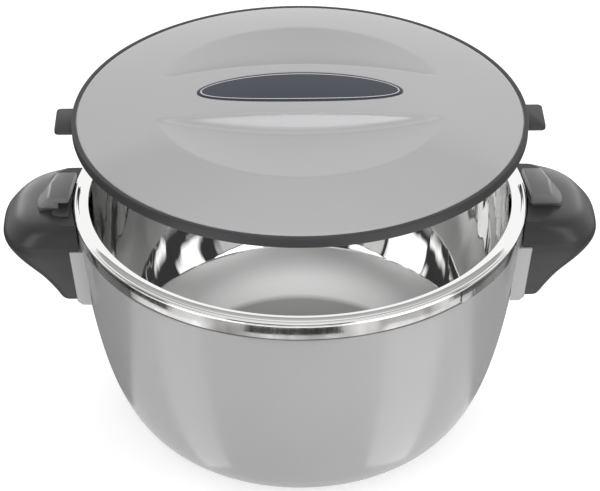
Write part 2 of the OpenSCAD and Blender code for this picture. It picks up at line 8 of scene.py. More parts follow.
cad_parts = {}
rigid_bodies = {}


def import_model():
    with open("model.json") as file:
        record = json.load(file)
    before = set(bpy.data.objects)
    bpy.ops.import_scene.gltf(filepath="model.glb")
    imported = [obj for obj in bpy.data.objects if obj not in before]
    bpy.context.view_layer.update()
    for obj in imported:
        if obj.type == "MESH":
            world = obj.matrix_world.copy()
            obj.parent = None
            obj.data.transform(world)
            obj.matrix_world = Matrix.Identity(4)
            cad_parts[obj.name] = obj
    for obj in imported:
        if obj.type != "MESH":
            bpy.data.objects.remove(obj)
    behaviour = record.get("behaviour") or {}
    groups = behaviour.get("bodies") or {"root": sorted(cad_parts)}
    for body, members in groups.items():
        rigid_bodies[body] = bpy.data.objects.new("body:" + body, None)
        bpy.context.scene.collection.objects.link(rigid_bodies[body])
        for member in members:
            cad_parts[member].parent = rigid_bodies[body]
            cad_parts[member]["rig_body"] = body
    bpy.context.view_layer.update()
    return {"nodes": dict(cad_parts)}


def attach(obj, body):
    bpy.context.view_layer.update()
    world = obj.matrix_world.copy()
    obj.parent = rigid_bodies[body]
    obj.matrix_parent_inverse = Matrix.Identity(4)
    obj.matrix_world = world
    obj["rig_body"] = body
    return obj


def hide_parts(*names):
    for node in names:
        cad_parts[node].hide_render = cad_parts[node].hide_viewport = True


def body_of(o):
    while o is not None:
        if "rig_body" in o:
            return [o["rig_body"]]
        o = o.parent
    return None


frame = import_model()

mm = 0.001
print("frame loaded:", len(frame["nodes"]), "nodes")


# small mesh tools; sizes are millimetres until a piece is finished

def curvePoints(a, b, c, d, steps):
    # cubic curve from a to d
    rows = []
    for i in range(steps + 1):
        t = i / steps
        k = ((1 - t) ** 3, 3 * t * (1 - t) ** 2, 3 * t * t * (1 - t), t ** 3)
        rows.append(tuple(sum(w * p[n] for w, p in zip(k, (a, b, c, d))) for n in (0, 1)))
    return rows


def besideLine(points, gap):
    # the same line, moved to its left by gap
    rows = []
    last = len(points) - 1
    for i, (r, z) in enumerate(points):
        p, q = points[max(i - 1, 0)], points[min(i + 1, last)]
        dr, dz = q[0] - p[0], q[1] - p[1]
        length = hypot(dr, dz)
        rows.append((r - gap * dz / length, z + gap * dr / length))
    return rows


def softCorners(points, steps=4):
    # points are (r, z) or (r, z, soft); a soft corner is rounded by that length
    rows = []
    count = len(points)
    for i, point in enumerate(points):
        soft = point[2] if len(point) > 2 else 0
        here = Vector(point[:2])
        if not soft:
            rows.append(tuple(here))
            continue
        before = Vector(points[i - 1][:2]) - here
        after = Vector(points[(i + 1) % count][:2]) - here
        a = here + before.normalized() * min(soft, before.length * 0.49)
        b = here + after.normalized() * min(soft, after.length * 0.49)
        for k in range(steps + 1):
            t = k / steps
            rows.append(tuple(a * (1 - t) ** 2 + here * 2 * t * (1 - t) + b * t * t))
    return rows


def turned(points, steps, fromDeg=0, toDeg=360, closed=True):
    # lathes a profile of (r, z) about Z; a full turn is an eighth, doubled three times
    bm = bmesh.new()
    verts = [bm.verts.new((r, 0, z)) for r, z in points]
    edges = [bm.edges.new(pair) for pair in zip(verts, verts[1:])]
    if closed:
        edges.append(bm.edges.new((verts[-1], verts[0])))
    full = toDeg - fromDeg == 360
    if full:
        turn, count, doublings = 45, steps // 8, (45, 90, 180)
    else:
        turn, count, doublings = toDeg - fromDeg, steps, ()
    bmesh.ops.spin(bm, geom=verts + edges, cent=(0, 0, 0), axis=(0, 0, 1), angle=radians(turn),
                   steps=count)
    for angle in doublings:
        copy = bmesh.ops.duplicate(bm, geom=bm.verts[:] + bm.edges[:] + bm.faces[:])["geom"]
        copied = [v for v in copy if isinstance(v, bmesh.types.BMVert)]
        bmesh.ops.rotate(bm, verts=copied, matrix=Matrix.Rotation(radians(angle), 3, "Z"))
    bmesh.ops.remove_doubles(bm, verts=bm.verts, dist=0.0005)
    if not full:                                   # a part turn gets end faces
        openEdges = [e for e in bm.edges if e.is_boundary]
        bmesh.ops.holes_fill(bm, edges=openEdges, sides=0)
        bmesh.ops.rotate(bm, verts=bm.verts, matrix=Matrix.Rotation(radians(fromDeg), 3, "Z"))
    bmesh.ops.recalc_face_normals(bm, faces=bm.faces)
    return bm


def rounded(bm, edges, offset, segments, clamp=False):
    bmesh.ops.bevel(bm, geom=edges, offset=offset, affect="EDGES", segments=segments, profile=0.5,
                    material=-1, clamp_overlap=clamp)


def softBlock(size, centre, soft, segments, pick):
    # a box; the edges that pick says yes to are rounded
    bm = bmesh.new()
    bmesh.ops.create_cube(bm, size=1)
    bmesh.ops.scale(bm, verts=bm.verts, vec=size)
    bmesh.ops.translate(bm, verts=bm.verts, vec=centre)
    rounded(bm, [e for e in bm.edges if pick(e)], soft, segments)
    return bm


def addIsland(bm, other):
    mesh = bpy.data.meshes.new("island")
    other.to_mesh(mesh)
    bm.from_mesh(mesh)
    other.free()
    bpy.data.meshes.remove(mesh)


def mirroredX(bm):
    bmesh.ops.scale(bm, verts=bm.verts, vec=(-1, 1, 1))
    bmesh.ops.reverse_faces(bm, faces=bm.faces)
    return bm


def finished(name, bm, materials, body, nodes, creaseDeg=38):
    # to metres, outward normals, smooth with crisp creases, then its body and the node it stands for
    bmesh.ops.scale(bm, verts=bm.verts, vec=(mm, mm, mm))
    if bm.calc_volume(signed=True) < 0:
        bmesh.ops.reverse_faces(bm, faces=bm.faces)
    for face in bm.faces:
        face.smooth = True
    for edge in bm.edges:
        edge.smooth = not (edge.is_manifold and edge.calc_face_angle(0) > radians(creaseDeg))
    mesh = bpy.data.meshes.new(name)
    bm.to_mesh(mesh)
    bm.free()
    for material in materials:
        mesh.materials.append(material)
    piece = bpy.data.objects.new(name, mesh)
    bpy.context.scene.collection.objects.link(piece)
    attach(piece, body)
    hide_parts(*nodes)
    print("piece", name, len(mesh.polygons), "faces")
    return piece


# small material tools

class Finish:
    # a Principled material with helpers that add one kind of detail each
    def __init__(self, name, roughness, metallic=0.0, **sockets):
        self.material = bpy.data.materials.new(name)
        self.material.use_nodes = True
        self.tree = self.material.node_tree
        self.shader = self.tree.nodes["Principled BSDF"]
        self.shader.inputs["Roughness"].default_value = roughness
        self.shader.inputs["Metallic"].default_value = metallic
        for socket, value in sockets.items():
            self.shader.inputs[socket.replace("_", " ")].default_value = value
        self.coords = self.add("TexCoord").outputs["Object"]

    def add(self, kind, **values):
        node = self.tree.nodes.new("ShaderNode" + kind)
        for key, value in values.items():
            setattr(node, key, value)
        return node

    def link(self, source, target):
        self.tree.links.new(source, target)

    def math(self, operation, a, b=None):
        node = self.add("Math", operation=operation)
        for socket, value in zip(node.inputs, (a, b)):
            if value is None:
                continue
            if isinstance(value, (int, float)):
                socket.default_value = value
            else:
                self.link(value, socket)
        return node.outputs[0]

    def times(self, a, b):
        return self.math("MULTIPLY", a, b)

    def split(self):
        # the object's own x, y and z
        node = self.add("SeparateXYZ")
        self.link(self.coords, node.inputs[0])
        return node.outputs

    def stretched(self, scale):
        node = self.add("Mapping")
        node.inputs["Scale"].default_value = scale
        self.link(self.coords, node.inputs["Vector"])
        return node.outputs[0]

    def noise(self, scale, detail, vector=None, distortion=0.0):
        node = self.add("TexNoise")
        node.inputs["Scale"].default_value = scale
        node.inputs["Detail"].default_value = detail
        node.inputs["Distortion"].default_value = distortion
        self.link(vector or self.coords, node.inputs["Vector"])
        return node.outputs[0]

    def ranged(self, value, low, high, fromLow=0.3, fromHigh=0.7):
        # noise stays mostly between 0.3 and 0.7, so that is the usual range to start from
        node = self.add("MapRange")
        self.link(value, node.inputs["Value"])
        limits = {"From Min": fromLow, "From Max": fromHigh, "To Min": low, "To Max": high}
        for key, number in limits.items():
            node.inputs[key].default_value = number
        return node.outputs[0]

    def mixed(self, factor, colourA, colourB):
        node = self.add("Mix", data_type="RGBA")
        for socket, colour in ((node.inputs[6], colourA), (node.inputs[7], colourB)):
            if isinstance(colour, tuple):
                socket.default_value = (*colour, 1)
            else:
                self.link(colour, socket)
        self.link(factor, node.inputs[0])
        return node.outputs[2]

    def colour(self, value):
        self.link(value, self.shader.inputs["Base Color"])

    def rough(self, value):
        self.link(value, self.shader.inputs["Roughness"])

    def bumped(self, heights):
        # heights is a list of (height, distance in mm, strength), chained from coarse to fine
        normal = None
        for height, distance, strength in heights:
            node = self.add("Bump")
            node.inputs["Distance"].default_value = distance * mm
            node.inputs["Strength"].default_value = strength
            self.link(height, node.inputs["Height"])
            if normal:
                self.link(normal, node.inputs["Normal"])
            normal = node.outputs[0]
        self.link(normal, self.shader.inputs["Normal"])

    def radius(self):
        # distance from the pot's axis, in metres
        x, y = self.split()[:2]
        return self.math("SQRT", self.math("ADD", self.times(x, x), self.times(y, y)))

    def ringVector(self, radius, scale):
        # gives noise that stays the same all round a turning mark
        node = self.add("CombineXYZ")
        self.link(self.times(radius, scale), node.inputs[0])
        return node.outputs[0]

    def roundVector(self, turns, rise):
        # walks round the axis without a seam: (cos, sin) * turns, and z * rise
        flat = self.stretched((1, 1, 0))
        unit = self.add("VectorMath", operation="NORMALIZE")
        self.link(flat, unit.inputs[0])
        wide = self.add("VectorMath", operation="SCALE")
        self.link(unit.outputs[0], wide.inputs[0])
        wide.inputs["Scale"].default_value = turns
        tall = self.stretched((0, 0, rise))
        both = self.add("VectorMath", operation="ADD")
        self.link(wide.outputs[0], both.inputs[0])
        self.link(tall, both.inputs[1])
        return both.outputs[0]


def mouldedPlastic(name, light, dark, roughness, metallic=0.0, grain=0.05, lowPart=None, **sockets):
    finish = Finish(name, roughness[0], metallic, **sockets)
    cloud = finish.noise(9, 3)
    speck = finish.noise(900, 2)
    speckShare = 0.12
    tone = finish.math("ADD", finish.times(cloud, 1 - speckShare), finish.times(speck, speckShare))
    plastic = finish.mixed(finish.ranged(tone, 0, 1), dark, light)
    if lowPart:                                    # below this height the piece is darker
        edge, lowTone, fade = lowPart
        height = finish.ranged(finish.split()[2], 0, 1, edge * mm, (edge + fade) * mm)
        plastic = finish.mixed(height, lowTone, plastic)
    finish.colour(plastic)
    finish.rough(finish.ranged(finish.noise(40, 4), roughness[0], roughness[1]))
    finish.bumped([(finish.noise(35, 1), 0.10, 0.03), (finish.noise(1600, 2), 0.04, grain)])
    return finish.material


shellPlastic = mouldedPlastic("silverShellPlastic", (0.41, 0.41, 0.417), (0.38, 0.38, 0.387),
                              (0.20, 0.26), 0.1)
coverPlastic = mouldedPlastic("silverCoverPlastic", (0.41, 0.41, 0.417), (0.385, 0.385, 0.392),
                              (0.16, 0.20), 0.1, 0.03)
darkPlastic = mouldedPlastic("charcoalPlastic", (0.034, 0.034, 0.036), (0.029, 0.029, 0.031),
                             (0.34, 0.40), grain=0.12, Specular_IOR_Level=0.35)
catchPlastic = mouldedPlastic("greyCatchPlastic", (0.155, 0.155, 0.157), (0.135, 0.135, 0.137),
                              (0.32, 0.38), grain=0.1, lowPart=(135.2, (0.06, 0.06, 0.062), 0.3))

bowlLook = dict(satinTop=38.4, mirrorFrom=39.2, wallTop=131.4, flangeZ=133.4, floorIn=66, floorOut=70)


def bowlFinish(b):
    # mirror wall with long upright waves, a satin floor with turning marks and a darker tint that is
    # painted shade, a calm flange with a lighter tint that is a painted brighter reflection
    finish = Finish("polishedBowlSteel", 0.06, 1.0)
    radius = finish.radius()
    z = finish.split()[2]
    satin = finish.ranged(z, 1, 0, b["satinTop"] * mm, b["mirrorFrom"] * mm)
    wave = finish.noise(1.0, 1.0, finish.roundVector(7, 4))
    fine = finish.noise(1.0, 2, finish.roundVector(60, 30))
    rings = finish.noise(1.0, 2, finish.ringVector(radius, 1400))
    wallRough = finish.ranged(fine, 0.015, 0.04)
    floorRough = finish.ranged(rings, 0.36, 0.42)
    polished = finish.math("SUBTRACT", 1.0, satin)
    flange = finish.ranged(z, 0, 1, b["wallTop"] * mm, b["flangeZ"] * mm)
    wall = finish.times(polished, finish.math("SUBTRACT", 1.0, flange))
    floor = finish.ranged(radius, 1, 0, b["floorIn"] * mm, b["floorOut"] * mm)
    mottle = finish.noise(160, 3)
    finish.rough(finish.math("ADD", finish.times(wallRough, polished), finish.times(floorRough, satin)))
    streaks = finish.ranged(finish.times(fine, polished), 0, 1)
    tone = finish.mixed(streaks, (0.80, 0.80, 0.795), (0.75, 0.75, 0.745))
    # the flange gets a lighter tint than the wall: a painted brighter reflection
    tone = finish.mixed(flange, tone, (0.92, 0.92, 0.91))
    # the floor gets a darker tint than the wall: painted shade on the deep floor
    finish.colour(finish.mixed(floor, tone, (0.38, 0.375, 0.37)))
    finish.bumped([(finish.times(wave, wall), 0.5, 0.6), (finish.times(fine, wall), 0.012, 0.3),
                   (finish.times(rings, floor), 0.02, 0.35), (mottle, 0.02, 0.05)])
    return finish.material


def sheetSteel(name, tint, shade, roughness, turns, rise, waves=(0.5, 0.5), metallic=1.0):
    # broad waves and fine marks; turns and rise hold one value for each of the two; the broad waves also
    # mix tint and shade, and where the shade is dark, as on the band, this paints dark reflections
    finish = Finish(name, roughness[0], metallic)
    broad = finish.noise(1.0, 2, finish.roundVector(turns[0], rise[0]), 0.3)
    fine = finish.noise(1.0, 3, finish.roundVector(turns[1], rise[1]))
    finish.colour(finish.mixed(finish.ranged(broad, 0, 1), tint, shade))
    finish.rough(finish.ranged(fine, roughness[0], roughness[1]))
    finish.bumped([(broad, waves[0], 0.8), (fine, 0.04, waves[1])])
    return finish.material


bowlSteel = bowlFinish(bowlLook)
# the band's dark shade, mixed in broad upright patches, is painted dark reflection
bandSteel = sheetSteel("rimBandSteel", (0.62, 0.61, 0.60), (0.20, 0.195, 0.19), (0.10, 0.20),
                       (5, 60), (25, 80))
linerSteel = sheetSteel("linerSteel", (0.90, 0.89, 0.87), (0.85, 0.84, 0.82), (0.42, 0.52),
                        (5, 90), (4, 4), (0.2, 0.3), 0.25)
screwSteel = sheetSteel("screwSteel", (0.60, 0.60, 0.61), (0.5, 0.5, 0.51), (0.25, 0.4),
                        (5, 90), (90, 90), (0.05, 0.3))


def rubberFinish(name, light, dark, roughness):
    finish = Finish(name, roughness[0])
    finish.colour(finish.mixed(finish.ranged(finish.noise(30, 4), 0, 1), dark, light))
    finish.rough(finish.ranged(finish.noise(150, 3), roughness[0], roughness[1]))
    finish.bumped([(finish.noise(700, 3), 0.06, 0.35)])
    return finish.material


def foamFinish():
    finish = Finish("creamFoam", 0.9)
    cells = finish.add("TexVoronoi")
    cells.inputs["Scale"].default_value = 900
    finish.link(finish.coords, cells.inputs["Vector"])
    # darker at the cells' middles, where the bump sinks: painted shade in the foam's pores
    paintedPoreShade = finish.ranged(cells.outputs["Distance"], 0, 1, 0, 0.8)
    finish.colour(finish.mixed(paintedPoreShade, (0.80, 0.70, 0.45), (0.88, 0.80, 0.56)))
    finish.rough(finish.ranged(finish.noise(200, 2), 0.8, 0.95))
    finish.bumped([(finish.noise(40, 2), 0.8, 0.4), (cells.outputs["Distance"], 0.3, 0.6)])
    return finish.material


sealRubber = rubberFinish("paleSealRubber", (0.62, 0.62, 0.60), (0.55, 0.55, 0.53), (0.5, 0.65))
footRubber = rubberFinish("footRubber", (0.055, 0.055, 0.057), (0.04, 0.04, 0.042), (0.6, 0.75))
creamFoam = foamFinish()
emblemGloss = mouldedPlastic("emblemNavyLacquer", (0.026, 0.031, 0.050), (0.021, 0.026, 0.042),
                             (0.14, 0.20), grain=0.02, Specular_IOR_Level=0.3)
# the plate's dark rim: painted shadow of the gap round the plate
emblemGapShadow = mouldedPlastic("emblemPaintedGapShadow", (0.022, 0.023, 0.028), (0.016, 0.017, 0.021),
                            (0.25, 0.35), grain=0.02)
emblemSilver = sheetSteel("emblemSilverLine", (0.80, 0.80, 0.80), (0.72, 0.72, 0.73), (0.25, 0.35),
                          (8, 90), (8, 90), (0.05, 0.2))
print("materials made")


# the double wall: shell, bowl and steel band

shellSizes = dict(footR=74, footZ=0.8, runOut=26, wallLean=7, wallRun=79, topR=118.8, topZ=124.45,
                  wall=2.4, floorZ=4.2, floorRun=3.4, neckR=117.6, neckTop=132.45, neckWall=1.2,
                  plateR=57.9, stepR=49.6, stepZ=2.8, grooveIn=65.65, grooveOut=70.45, grooveZ=2.6,
                  edgeSoft=0.35, neckSoft=0.2, plateSoft=0.3, wallSteps=64, steps=256)
padSizes = dict(halfW=35, outX=120.8, lowX=117.6, topZ=121.4, lowZ=88.4, bevel=2.0, rootTop=117.4,
                rootLow=115.6, soft=0.9, steps=12)
ribSizes = dict(halfDeg=20.3, outR=119.4, inR=116.4, lowZ=123.45, topZ=132.45, soft=0.35, steps=32)


def shellProfile(s):
    foot, top = (s["footR"], s["footZ"]), (s["topR"], s["topZ"])
    outside = curvePoints(foot, (foot[0] + s["runOut"], foot[1]),
                          (top[0] - s["wallLean"], top[1] - s["wallRun"]), top, s["wallSteps"])
    # the inside ends just over the floor
    inside = [p for p in besideLine(outside, s["wall"]) if p[1] > s["floorZ"] + 0.3]
    rows = outside[:-1]
    rows += [(s["topR"], s["topZ"], s["edgeSoft"]), (s["neckR"], s["topZ"])]
    rows += [(s["neckR"], s["neckTop"], s["neckSoft"]), (s["neckR"] - s["neckWall"], s["neckTop"])]
    rows += inside[::-1]
    rows += [(inside[0][0] - s["floorRun"], s["floorZ"]), (s["stepR"], s["floorZ"])]
    rows += [(s["stepR"], s["stepZ"]), (s["plateR"], s["stepZ"])]
    rows += [(s["plateR"], s["footZ"], s["plateSoft"])]
    rows += [(s["grooveIn"], s["footZ"]), (s["grooveIn"], s["grooveZ"]), (s["grooveOut"], s["grooveZ"]),
             (s["grooveOut"], s["footZ"])]
    return softCorners(rows)


def padBlock(p):
    # leaning mounting pad behind the handle, rooted in the round wall
    bm = bmesh.new()
    slope = (p["outX"] - p["lowX"]) / (p["topZ"] - p["lowZ"])
    side = [(0, p["topZ"]), (p["outX"], p["topZ"]),
            (p["lowX"] + slope * p["bevel"], p["lowZ"] + p["bevel"]),
            (p["lowX"] - p["bevel"], p["lowZ"]), (0, p["lowZ"])]
    face = bm.faces.new([bm.verts.new((x, -p["halfW"], z)) for x, z in side])
    for i in range(p["steps"]):
        out = bmesh.ops.extrude_face_region(bm, geom=[face])["geom"]
        if i:                                      # the first face stays as the end
            bmesh.ops.delete(bm, geom=[face], context="FACES_ONLY")
        moved = [v for v in out if isinstance(v, bmesh.types.BMVert)]
        face = [f for f in out if isinstance(f, bmesh.types.BMFace)][0]
        bmesh.ops.translate(bm, verts=moved, vec=(0, 2 * p["halfW"] / p["steps"], 0))
    for v in bm.verts:
        if v.co.x < 1:                             # the root follows the round wall
            wall = p["rootTop"] if v.co.z > p["topZ"] - 1 else p["rootLow"]
            v.co.x = sqrt(wall ** 2 - v.co.y ** 2)
    bmesh.ops.recalc_face_normals(bm, faces=bm.faces)
    edges = [e for e in bm.edges if e.is_manifold and e.calc_face_angle(0) > radians(30)
             and min(v.co.xy.length for v in e.verts) > p["rootTop"] + 0.3]
    rounded(bm, edges, p["soft"], 3)
    return bm


def ribForm(r):
    # the thicker piece of the neck between the ends of the steel band
    rows = [(r["inR"], r["lowZ"]), (r["outR"], r["lowZ"], r["soft"]), (r["outR"], r["topZ"], r["soft"]),
            (r["inR"], r["topZ"])]
    return turned(softCorners(rows), r["steps"], -r["halfDeg"], r["halfDeg"])


shell = turned(shellProfile(shellSizes), shellSizes["steps"])
for flip in (False, True):
    for island in (padBlock(padSizes), ribForm(ribSizes)):
        addIsland(shell, mirroredX(island) if flip else island)
finished("shellMoulding", shell, [shellPlastic], "pot", ["outer_shell"])

bowlSizes = dict(floorR=52, floorZ=18, runOut=45, lean=0.4, wallRun=74, mouthR=111.6, bend=1.0,
                 rimZ=135, steel=0.7, under=0.25, beadR=1.2, beadMidR=118.8, beadFrom=135, beadTurn=250,
                 grooveR=117.0, groove=[(-0.5, 0), (-0.15, -0.12), (0.1, -0.25), (0.45, -0.25)],
                 wallSteps=96, bendSteps=8, beadSteps=14, steps=256)


def bowlProfile(b):
    wallTop = b["rimZ"] - b["bend"]
    inside = curvePoints((b["floorR"], b["floorZ"]), (b["floorR"] + b["runOut"], b["floorZ"]),
                         (b["mouthR"] - b["lean"], wallTop - b["wallRun"]), (b["mouthR"], wallTop),
                         b["wallSteps"])
    outside = besideLine(inside, -b["steel"])
    lip = []
    for i in range(1, b["bendSteps"] + 1):
        a = radians(180 - 90 * i / b["bendSteps"])
        lip.append((b["mouthR"] + b["bend"] * (1 + cos(a)), wallTop + b["bend"] * sin(a)))
    rows = [(0, b["floorZ"]), (20, b["floorZ"]), (40, b["floorZ"])] + inside + lip
    rows += [(b["grooveR"] + r, b["rimZ"] + z) for r, z in b["groove"]]
    midZ = b["rimZ"] - b["beadR"]
    for i in range(b["beadSteps"] + 1):
        a = radians(b["beadFrom"] - b["beadTurn"] * i / b["beadSteps"])
        rows.append((b["beadMidR"] + b["beadR"] * cos(a), midZ + b["beadR"] * sin(a)))
    rows += [(b["grooveR"], b["rimZ"] - b["steel"] - b["under"]),
             (b["mouthR"] + b["bend"] + b["steel"], b["rimZ"] - b["steel"])]
    rows += outside[::-1] + [(0, b["floorZ"] - b["steel"])]
    return rows


bowl = turned(bowlProfile(bowlSizes), bowlSizes["steps"], closed=False)
finished("steelBowl", bowl, [bowlSteel], "pot", ["inner_bowl"])

bandSizes = dict(lowZ=124.6, topZ=132.45, thick=0.6, corner=2.4, soft=0.15, leastSteps=12, degSteps=1.2)
# name, ends in degrees, inner radius, rounded ends, node
bandStrips = [("bandFrontLeft", 201.5, 315, 117.7, (), "rim_band_front_left"),
              ("bandFrontRight", 312, 338.5, 118.4, (312, 338.5), "rim_band_front_right"),
              ("bandBack", 21.5, 158.5, 117.7, (), "rim_band_back")]


def bandStrip(b, fromDeg, toDeg, inR, roundEnds):
    outR, soft = inR + b["thick"], b["soft"]
    rows = [(inR, b["lowZ"]), (outR, b["lowZ"], soft), (outR, b["topZ"], soft), (inR, b["topZ"])]
    steps = max(b["leastSteps"], int((toDeg - fromDeg) * b["degSteps"]))
    bm = turned(softCorners(rows, 2), steps, fromDeg, toDeg)
    picked = []                                    # the short level edges at the strip's ends
    for edge in bm.edges:
        a, c = [v.co for v in edge.verts]
        ends = [degrees(atan2(v.y, v.x)) % 360 for v in (a, c)]
        level = abs(a.z - c.z) < 0.2 and min(abs(a.z - b["lowZ"]), abs(a.z - b["topZ"])) < 0.16
        atEnd = abs(ends[0] - ends[1]) < 0.01 and any(abs(ends[0] - deg) < 0.01 for deg in roundEnds)
        if level and atEnd and abs(a.xy.length - c.xy.length) > 0.2:
            picked.append(edge)
    if picked:
        rounded(bm, picked, b["corner"], 5)
    return bm


for name, fromDeg, toDeg, inR, roundEnds, node in bandStrips:
    strip = bandStrip(bandSizes, fromDeg, toDeg, inR, roundEnds)
    finished(name, strip, [bandSteel], "pot", [node])


# handles: level loops pulled up by extruding, rounded like the moulding

handleSizes = dict(padX=120.8, reach=36.5, halfW=35, lowZ=88, height=46, roundness=2.8, clearR=120.4,
                   padTop=121.4, padLow=90.4, padLean=3.2, padH=33, padGap=0.1, flatX=116.6,
                   easeIn=1.6, easeUp=1.2, easeOut=0.1, topInset=1.2, levelSteps=6, arcSteps=48,
                   wallSteps=16)
# shares of the height, the reach and the half width, from the lower edge up
handleShares = [(0, 0.24, 0.84), (0.13, 0.34, 0.92), (0.3, 0.54, 0.965), (0.5, 0.86, 0.98),
                (0.674, 1, 0.98), (0.826, 0.88, 0.93), (0.935, 0.7, 0.88), (1, 0.35, 0.82)]


def smoothRows(rows, steps):
    # a smooth curve through all rows
    out = []
    for i in range(len(rows) - 1):
        p, q, r, s = rows[max(i - 1, 0)], rows[i], rows[i + 1], rows[min(i + 2, len(rows) - 1)]
        for j in range(steps):
            t = j / steps
            row = []
            for n in range(3):
                square = 2 * p[n] - 5 * q[n] + 4 * r[n] - s[n]
                cube = 3 * q[n] - p[n] - 3 * r[n] + s[n]
                row.append(0.5 * (2 * q[n] + (r[n] - p[n]) * t + square * t * t + cube * t ** 3))
            out.append(tuple(row))
    return out + [rows[-1]]


def handleLoop(h, z, reach, halfW, zone):
    # outer side from -Y to +Y, then back along the wall side
    arc, wall = h["arcSteps"], h["wallSteps"]
    loop = []
    for i in range(arc + 1):
        a = pi * i / arc
        s = sin(a) ** (2 / h["roundness"]) if 0 < i < arc else 0
        c = abs(cos(a)) ** (2 / h["roundness"])
        loop.append((h["padX"] + reach * s, -halfW * c * (1 if cos(a) >= 0 else -1), z))
    for i in range(wall + 1):
        y = halfW - 2 * halfW * i / wall
        if zone == "round":
            x = sqrt(h["clearR"] ** 2 - y * y)
        elif zone == "pad":
            x = h["padX"] + h["padGap"] - (h["padTop"] - z) * h["padLean"] / h["padH"]
        else:
            x = h["flatX"]
        loop.append((x, y, z))
    return loop


def handleForm(h):
    levels = []
    for share, reach, width in smoothRows(handleShares, h["levelSteps"]):
        z = h["lowZ"] + h["height"] * share
        levels.append((z, h["reach"] * reach, h["halfW"] * width))
    z, reach, halfW = levels[0]
    levels[0] = (z + h["easeUp"], reach + h["easeOut"], halfW)
    levels.insert(0, (z, reach - h["easeIn"], halfW - h["easeIn"]))    # eases the lower edge
    loops = []
    for z, reach, halfW in levels:
        zone = "flat" if z < h["padLow"] else "pad" if z < h["padTop"] else "round"
        if loops and zone != loops[-1][1]:
            edgeZ = h["padLow"] if zone == "pad" else h["padTop"]
            loops.append((handleLoop(h, edgeZ, reach, halfW, loops[-1][1]), loops[-1][1]))
            loops.append((handleLoop(h, edgeZ, reach, halfW, zone), zone))
        loops.append((handleLoop(h, z, reach, halfW, zone), zone))
    bm = bmesh.new()
    verts = [bm.verts.new(p) for p in loops[0][0]]
    edges = [bm.edges.new((verts[i], verts[(i + 1) % len(verts)])) for i in range(len(verts))]
    bm.faces.new(verts)
    for loop, zone in loops[1:]:
        out = bmesh.ops.extrude_edge_only(bm, edges=edges)["geom"]
        edges = [g for g in out if isinstance(g, bmesh.types.BMEdge)]
        fresh = {}                                 # the new corner over each old one
        for v in verts:
            for e in v.link_edges:
                other = e.other_vert(v)
                if other in out and (other.co - v.co).length < 1e-6:
                    fresh[v] = other
        verts = [fresh[v] for v in verts]
        for v, p in zip(verts, loop):
            v.co = p
        ring = set(verts)
        edges = [e for e in edges if e.verts[0] in ring and e.verts[1] in ring]
    top = bmesh.ops.holes_fill(bm, edges=edges, sides=0)["faces"]
    bmesh.ops.inset_region(bm, faces=top, thickness=h["topInset"], use_even_offset=True)
    bmesh.ops.remove_doubles(bm, verts=bm.verts, dist=0.001)
    bmesh.ops.recalc_face_normals(bm, faces=bm.faces)
    return bm


for side, flip in (("right", False), ("left", True)):
    form = handleForm(handleSizes)
    if flip:
        form = mirroredX(form)
    finished("sideHandle." + side, form, [darkPlastic], "pot", ["handle_" + side])


# catches: copies of the solids with every hard edge rounded

catchSizes = dict(soft=0.3, segments=3, hoodFrom=140.5, hoodSoft=1.2, creaseDeg=24)


def softenedNode(node, c):
    bm = bmesh.new()
    bm.from_mesh(frame["nodes"][node].data)
    bmesh.ops.scale(bm, verts=bm.verts, vec=(1 / mm, 1 / mm, 1 / mm))
    bmesh.ops.remove_doubles(bm, verts=bm.verts, dist=0.003)
    bmesh.ops.dissolve_limit(bm, angle_limit=radians(1.5), verts=bm.verts, edges=bm.edges)
    # the top of the hood first, with a wider rounding, then every edge that is still sharp
    for low, offset in ((c["hoodFrom"], c["hoodSoft"]), (0, c["soft"])):
        edges = [e for e in bm.edges if e.is_manifold and e.calc_face_angle(0) > radians(c["creaseDeg"])
                 and max(v.co.z for v in e.verts) > low]
        rounded(bm, edges, offset, c["segments"], True)
    return bm


for side in ("left", "right"):
    node = "lid_catch_" + side
    catch = softenedNode(node, catchSizes)
    finished("tabCatch." + side, catch, [catchPlastic], "pot", [node])


# lid: cover with its dip and grip bar, dark ring with tabs, steel liner, oval plate

coverSizes = dict(edgeR=115.4, edgeZ=184, domeH=15.8, dishR=76.5, dishH=4.2, gripHalf=23.8, gripEnd=16.5,
                  draft=0.5386, barTop=16.8, skirtZ=180.7, wall=2.3, underR=97, underH=2.3, softBar=2.6,
                  softDish=0.3, pocketA=53.25, pocketB=15.0, pocketDeep=0.95, pocketStep=0.22,
                  pocketEdge=0.7, pocketSteps=6, dishSteps=92, domeSteps=40, steps=400)


def softMin(a, b, k):
    # the lower of the two, with a rounded change-over that is k wide
    h = max(k - abs(a - b), 0) / k
    return min(a, b) - h * h * k / 4


def domeH(c, r):
    return c["domeH"] * (1 - (r / c["edgeR"]) ** 2)


def coverH(c, x, y):
    # height of the cover's skin over its edge
    r = hypot(x, y)
    dishFloor = domeH(c, c["dishR"]) - c["dishH"]
    dish = dishFloor + c["dishH"] * (r / c["dishR"]) ** 2
    chord = sqrt(c["dishR"] ** 2 - c["gripEnd"] ** 2)
    sag = c["gripHalf"] - c["gripEnd"]
    gripR = (chord ** 2 + sag ** 2) / (2 * sag)
    reach = hypot(x, abs(y) + gripR - c["gripHalf"])
    bar = c["barTop"] - (reach - gripR) / c["draft"]
    low = -softMin(-dish, -bar, c["softBar"])
    return softMin(domeH(c, r), low, c["softDish"])


